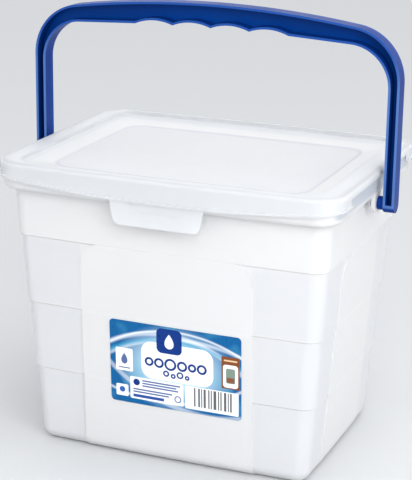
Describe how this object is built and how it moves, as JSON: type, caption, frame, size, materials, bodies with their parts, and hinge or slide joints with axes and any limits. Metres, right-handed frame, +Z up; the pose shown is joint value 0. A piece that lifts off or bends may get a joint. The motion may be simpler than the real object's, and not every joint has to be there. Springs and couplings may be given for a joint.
{
  "type": "lidded storage box with bail handle",
  "caption": "Drafted rectangular tub with stepped corners, a shelf rim, a sunk lift-off lid with a grip tab, and an upright snap-in bail handle with a finger grip.",
  "frame": {"origin": "middle of the flat underside, which rests on the ground", "axes": "+X to the box's right seen from its front, -Y out of the front with the lid's grip tab, +Z up along the upright handle"},
  "size_m": [0.2356, 0.1704, 0.2715],
  "materials": {
    "tub_plastic": "frosted translucent polypropylene",
    "lid_plastic": "frosted translucent polypropylene",
    "handle_plastic": "satin coloured polypropylene",
    "label_film": "printed film, glossy"
  },
  "bodies": {
    "tub": {"tub": "tub_plastic", "label": "label_film"},
    "lid": {"lid": "lid_plastic"},
    "handle": {"handle": "handle_plastic"}
  },
  "joints": [
    {"name": "handle_swing", "type": "hinge", "parent": "tub", "child": "handle", "pos_m": [0, 0, 0.161], "axis": [1, 0, 0], "range_deg": [-128, 128]},
    {"name": "lid_lift", "type": "slide", "parent": "tub", "child": "lid", "axis": [0, 0, 1], "range_m": [0, 0.05]}
  ]
}
